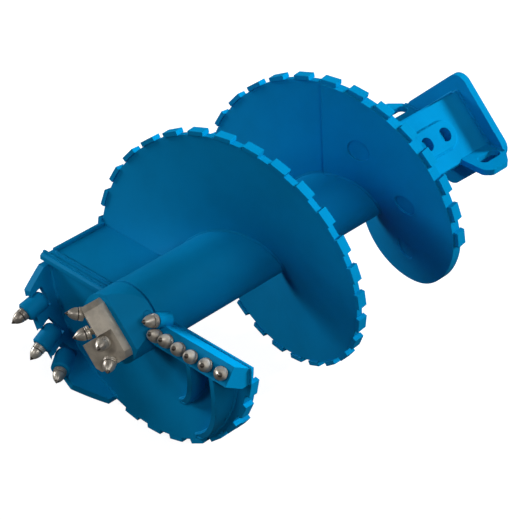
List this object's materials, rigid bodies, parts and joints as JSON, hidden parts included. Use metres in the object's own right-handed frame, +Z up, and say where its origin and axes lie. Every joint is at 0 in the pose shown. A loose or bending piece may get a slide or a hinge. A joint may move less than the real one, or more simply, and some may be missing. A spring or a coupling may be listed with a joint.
{
  "type": "rock auger",
  "caption": "Rock drilling auger with a square drive box, a helical flight with wear strips, a row of round shank picks, gauge picks in holders and a pilot block.",
  "frame": {"origin": "centre of the square Kelly socket at the drive end, on the drill axis", "axes": "+X along the drill axis from the drive end to the cutting end; +Y out along the row of picks; +Z up as the tool lies on its rim"},
  "size_m": [2.048, 1.0616, 1.0618],
  "materials": {
    "blue_paint": "satin",
    "blue_paint_strips": "satin",
    "pilot_steel": "matte",
    "pick_steel": "satin"
  },
  "bodies": {
    "auger": {"bar_gusset_inner": "blue_paint", "bar_gusset_outer": "blue_paint", "base_lip": "blue_paint", "base_plate": "blue_paint", "box_end_plate": "blue_paint", "box_wall_pin_lower": "blue_paint", "box_wall_pin_upper": "blue_paint", "box_wall_side_left": "blue_paint", "box_wall_side_right": "blue_paint", "centre_tube": "blue_paint", "drive_cap": "blue_paint", "drive_collar": "blue_paint", "flight_front": "blue_paint", "flight_middle": "blue_paint", "flight_rear": "blue_paint", "flight_tail": "blue_paint", "gauge_holder_1": "blue_paint", "gauge_holder_2": "blue_paint", "gauge_holder_3": "blue_paint", "gauge_wall": "blue_paint", "lift_lug_left": "blue_paint", "lift_lug_right": "blue_paint", "panel_edge_bar": "blue_paint", "pick_bar": "blue_paint", "pilot_adapter": "blue_paint", "pilot_block": "pilot_steel", "pin_boss_lower": "blue_paint", "pin_boss_upper": "blue_paint", "rear_doubler": "blue_paint", "side_panel": "blue_paint", "tube_end_ring": "blue_paint", "wear_strips_base": "blue_paint_strips", "wear_strips_front": "blue_paint_strips", "wear_strips_middle": "blue_paint_strips", "wear_strips_rear": "blue_paint_strips"},
    "bar_pick_1_body": {"bar_pick_1": "pick_steel"},
    "bar_pick_2_body": {"bar_pick_2": "pick_steel"},
    "bar_pick_3_body": {"bar_pick_3": "pick_steel"},
    "bar_pick_4_body": {"bar_pick_4": "pick_steel"},
    "bar_pick_5_body": {"bar_pick_5": "pick_steel"},
    "bar_pick_6_body": {"bar_pick_6": "pick_steel"},
    "bar_pick_7_body": {"bar_pick_7": "pick_steel"},
    "gauge_pick_1_body": {"gauge_pick_1": "pick_steel"},
    "gauge_pick_2_body": {"gauge_pick_2": "pick_steel"},
    "gauge_pick_3_body": {"gauge_pick_3": "pick_steel"},
    "pilot_pick_1a_body": {"pilot_pick_1a": "pick_steel"},
    "pilot_pick_1b_body": {"pilot_pick_1b": "pick_steel"},
    "pilot_pick_2a_body": {"pilot_pick_2a": "pick_steel"},
    "pilot_pick_2b_body": {"pilot_pick_2b": "pick_steel"}
  },
  "joints": [
    {"name": "bar_pick_1_turn", "type": "hinge", "parent": "auger", "child": "bar_pick_1_body", "pos_m": [1.85, 0.151, 0.074], "axis": [0.9344, -0.1005, 0.3416], "continuous": true},
    {"name": "bar_pick_2_turn", "type": "hinge", "parent": "auger", "child": "bar_pick_2_body", "pos_m": [1.86, 0.166, 0.02], "axis": [0.7684, 0.1197, 0.6287], "continuous": true},
    {"name": "bar_pick_3_turn", "type": "hinge", "parent": "auger", "child": "bar_pick_3_body", "pos_m": [1.86006, 0.219, 0.02532], "axis": [0.78, 0.152, 0.607], "continuous": true},
    {"name": "bar_pick_4_turn", "type": "hinge", "parent": "auger", "child": "bar_pick_4_body", "pos_m": [1.86161, 0.27909, 0.02275], "axis": [0.7511, 0.2504, 0.6109], "continuous": true},
    {"name": "bar_pick_5_turn", "type": "hinge", "parent": "auger", "child": "bar_pick_5_body", "pos_m": [1.86212, 0.33892, 0.02189], "axis": [0.7418, 0.2809, 0.6089], "continuous": true},
    {"name": "bar_pick_6_turn", "type": "hinge", "parent": "auger", "child": "bar_pick_6_body", "pos_m": [1.86109, 0.40807, 0.02361], "axis": [0.7358, 0.3809, 0.5599], "continuous": true},
    {"name": "bar_pick_7_turn", "type": "hinge", "parent": "auger", "child": "bar_pick_7_body", "pos_m": [1.86006, 0.478, 0.02532], "axis": [0.656, 0.56, 0.506], "continuous": true},
    {"name": "gauge_pick_1_turn", "type": "hinge", "parent": "auger", "child": "gauge_pick_1_body", "pos_m": [1.90649, -0.48621, -0.18465], "axis": [0.9463, -0.0901, -0.3104], "continuous": true},
    {"name": "gauge_pick_2_turn", "type": "hinge", "parent": "auger", "child": "gauge_pick_2_body", "pos_m": [1.89777, -0.41811, -0.30725], "axis": [0.8805, 0.06, -0.4703], "continuous": true},
    {"name": "gauge_pick_3_turn", "type": "hinge", "parent": "auger", "child": "gauge_pick_3_body", "pos_m": [1.88857, -0.32473, -0.37377], "axis": [0.822, 0.538, -0.187], "continuous": true},
    {"name": "pilot_pick_1a_turn", "type": "hinge", "parent": "auger", "child": "pilot_pick_1a_body", "pos_m": [1.98987, 0.03639, -0.00295], "axis": [0.8943, 0.4138, 0.1705], "continuous": true},
    {"name": "pilot_pick_1b_turn", "type": "hinge", "parent": "auger", "child": "pilot_pick_1b_body", "pos_m": [1.98987, -0.03639, 0.00295], "axis": [0.8943, -0.4138, -0.1705], "continuous": true},
    {"name": "pilot_pick_2a_turn", "type": "hinge", "parent": "auger", "child": "pilot_pick_2a_body", "pos_m": [1.99122, 0.06542, -0.06603], "axis": [0.7813, 0.6036, -0.1591], "continuous": true},
    {"name": "pilot_pick_2b_turn", "type": "hinge", "parent": "auger", "child": "pilot_pick_2b_body", "pos_m": [1.99122, -0.06542, 0.06603], "axis": [0.7813, -0.6036, 0.1591], "continuous": true}
  ]
}
